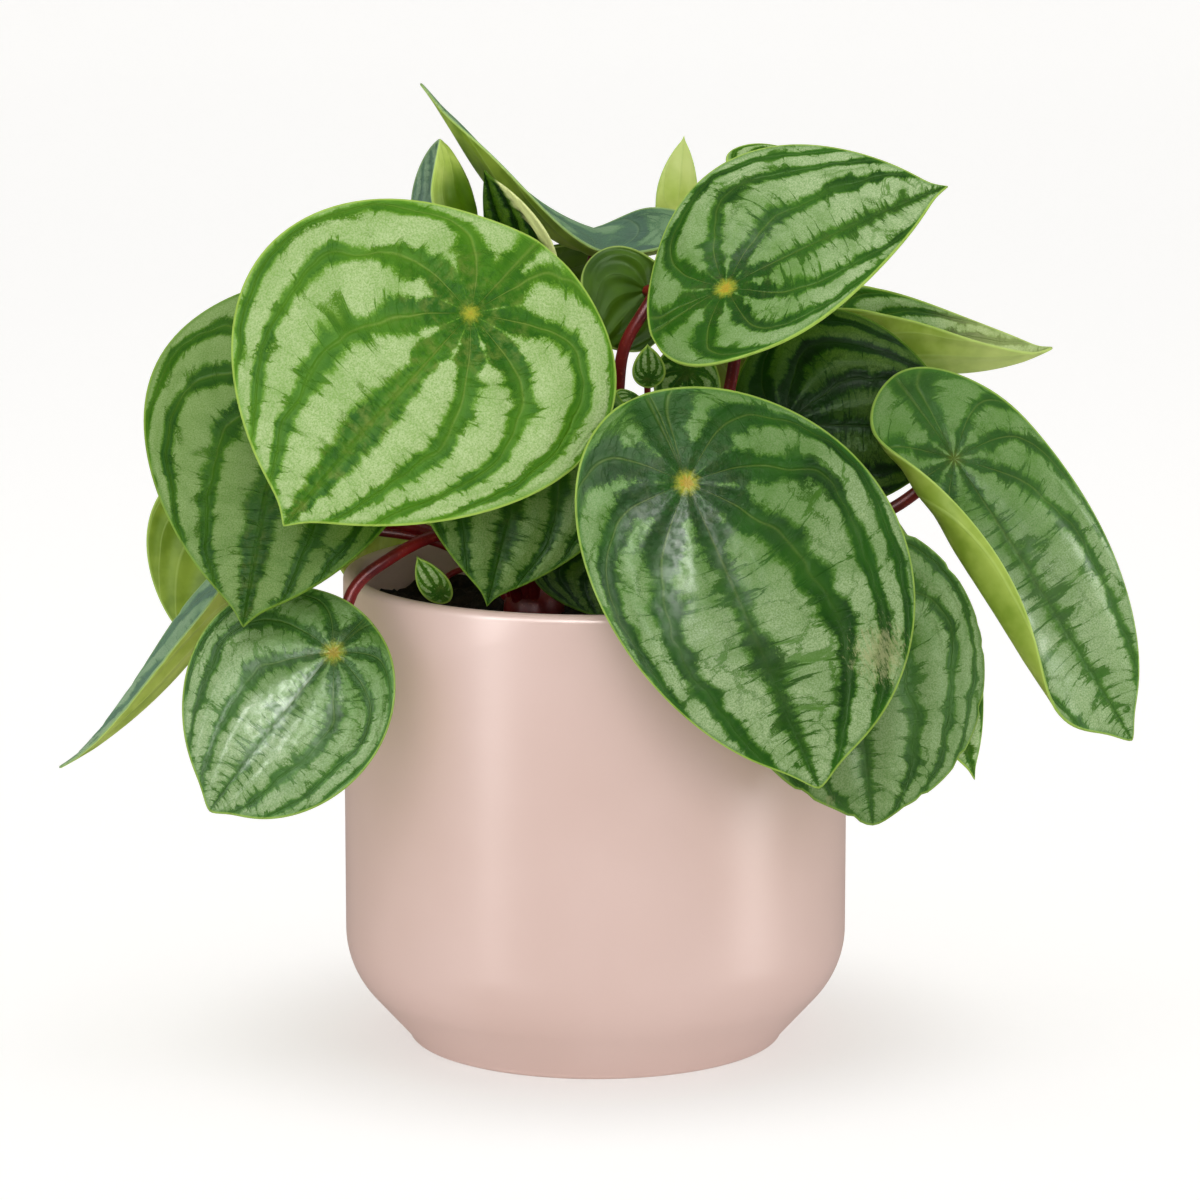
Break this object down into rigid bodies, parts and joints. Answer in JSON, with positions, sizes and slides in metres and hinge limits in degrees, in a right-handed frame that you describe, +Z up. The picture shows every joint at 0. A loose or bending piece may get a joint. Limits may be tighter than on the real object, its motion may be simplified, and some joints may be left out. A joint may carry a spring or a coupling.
{
  "type": "potted peperomia",
  "caption": "Leafy pot plant with round striped shield-shaped leaves on dark red stalks, in a smooth cylindrical pink ceramic pot with a rounded bevelled foot.",
  "frame": {"origin": "middle of the pot's foot, on the plane it stands on", "axes": "+Z up along the pot's axis; the plant's show side, with its three largest leaves, faces -Y"},
  "size_m": [0.2991, 0.1879, 0.2663],
  "materials": {
    "pot": "satin pale pink glaze",
    "soil": "dark potting soil, matte",
    "stalk": "dark red, satin",
    "blade": "satin green with silver stripes"
  },
  "bodies": {
    "root": {"leaf_back_high": "blade", "leaf_back_left": "blade", "leaf_back_left_low": "blade", "leaf_back_low": "blade", "leaf_back_right": "blade", "leaf_behind_left": "blade", "leaf_behind_upper_right": "blade", "leaf_below_left": "blade", "leaf_curled_right": "blade", "leaf_folded_middle": "blade", "leaf_front_left": "blade", "leaf_front_right": "blade", "leaf_hanging_left": "blade", "leaf_hooded_top": "blade", "leaf_inner_middle": "blade", "leaf_low_right": "blade", "leaf_over_rim": "blade", "leaf_pale_edge_top": "blade", "leaf_pointed_top": "blade", "leaf_rolled_right": "blade", "leaf_saddle_top": "blade", "leaf_shaded_right": "blade", "leaf_side_left": "blade", "leaf_side_right": "blade", "leaf_striped_small": "blade", "leaf_under_right": "blade", "leaf_underside_left": "blade", "leaf_upper_right": "blade", "leaf_young_high": "blade", "leaf_young_low": "blade", "leaf_young_rim": "blade", "pot": "pot", "soil": "soil", "stems_left": "stalk", "stems_middle": "stalk", "stems_right": "stalk"}
  },
  "joints": []
}
